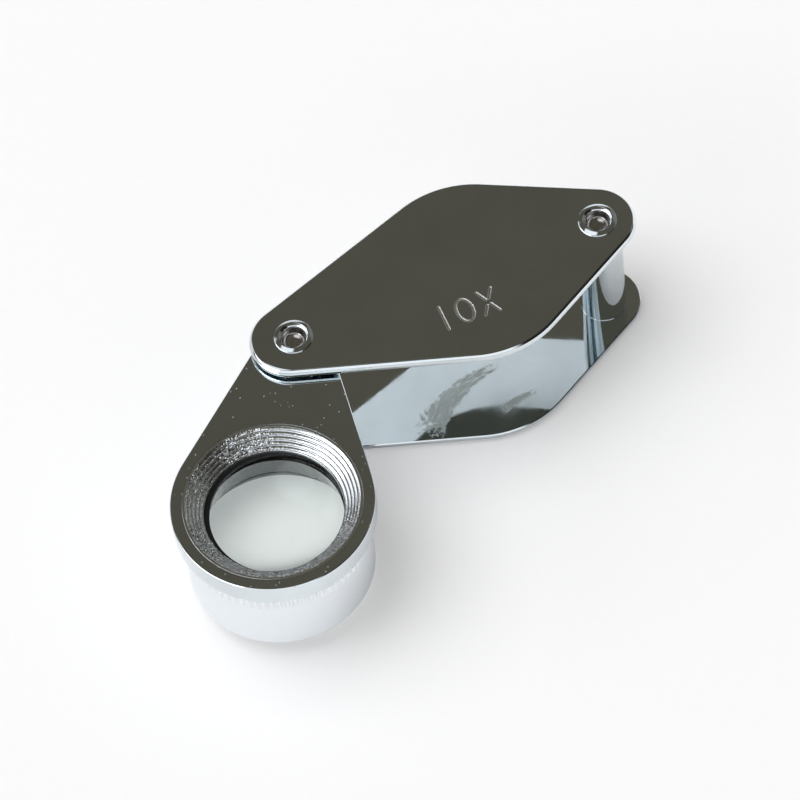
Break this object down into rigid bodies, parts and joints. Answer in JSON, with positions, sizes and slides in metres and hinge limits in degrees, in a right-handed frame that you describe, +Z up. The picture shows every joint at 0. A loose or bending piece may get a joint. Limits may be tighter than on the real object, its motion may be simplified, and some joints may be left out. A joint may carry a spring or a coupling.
{
  "type": "folding jeweler loupe",
  "caption": "Folding pocket magnifier: a round lens barrel on a teardrop arm swings out from between two flat chromed case plates held apart by a post.",
  "frame": {"origin": "centre of the part's box, at the surface that the lower rivet heads stand on, with the lens swung out as in the picture", "axes": "+X along the case from the pivot rivet to the end rivet; +Z up, along the rivets; the lens is swung out towards -Y"},
  "size_m": [0.0674, 0.0442, 0.0197],
  "materials": {
    "chromed_plate": "polished chrome plating",
    "chromed_rivet": "polished, rolled over at the upper heads",
    "chromed_arm": "polished, with small casting pits",
    "turned_chrome": "polished, with turned steps left by the lathe",
    "plain_steel": "plain turned metal",
    "blackened_ring": "blackened, glossy",
    "optical_glass": "clear, polished"
  },
  "bodies": {
    "case": {"top_plate": "chromed_plate", "bottom_plate": "chromed_plate", "pivot_rivet": "chromed_rivet", "end_rivet": "chromed_rivet", "end_post": "chromed_plate", "top_washer": "plain_steel", "bottom_washer": "plain_steel", "spring_washer": "plain_steel"},
    "lens_unit": {"swing_arm": "chromed_arm", "lens_barrel": "turned_chrome", "stop_ring": "blackened_ring", "upper_lens": "optical_glass", "lens_spacer": "plain_steel", "lower_lens": "optical_glass", "retaining_ring": "plain_steel"}
  },
  "joints": [
    {"name": "lens_swing", "type": "hinge", "parent": "case", "child": "lens_unit", "pos_m": [-0.01087, 0.00939, 0.00983], "axis": [0, 0, 1], "continuous": true}
  ]
}
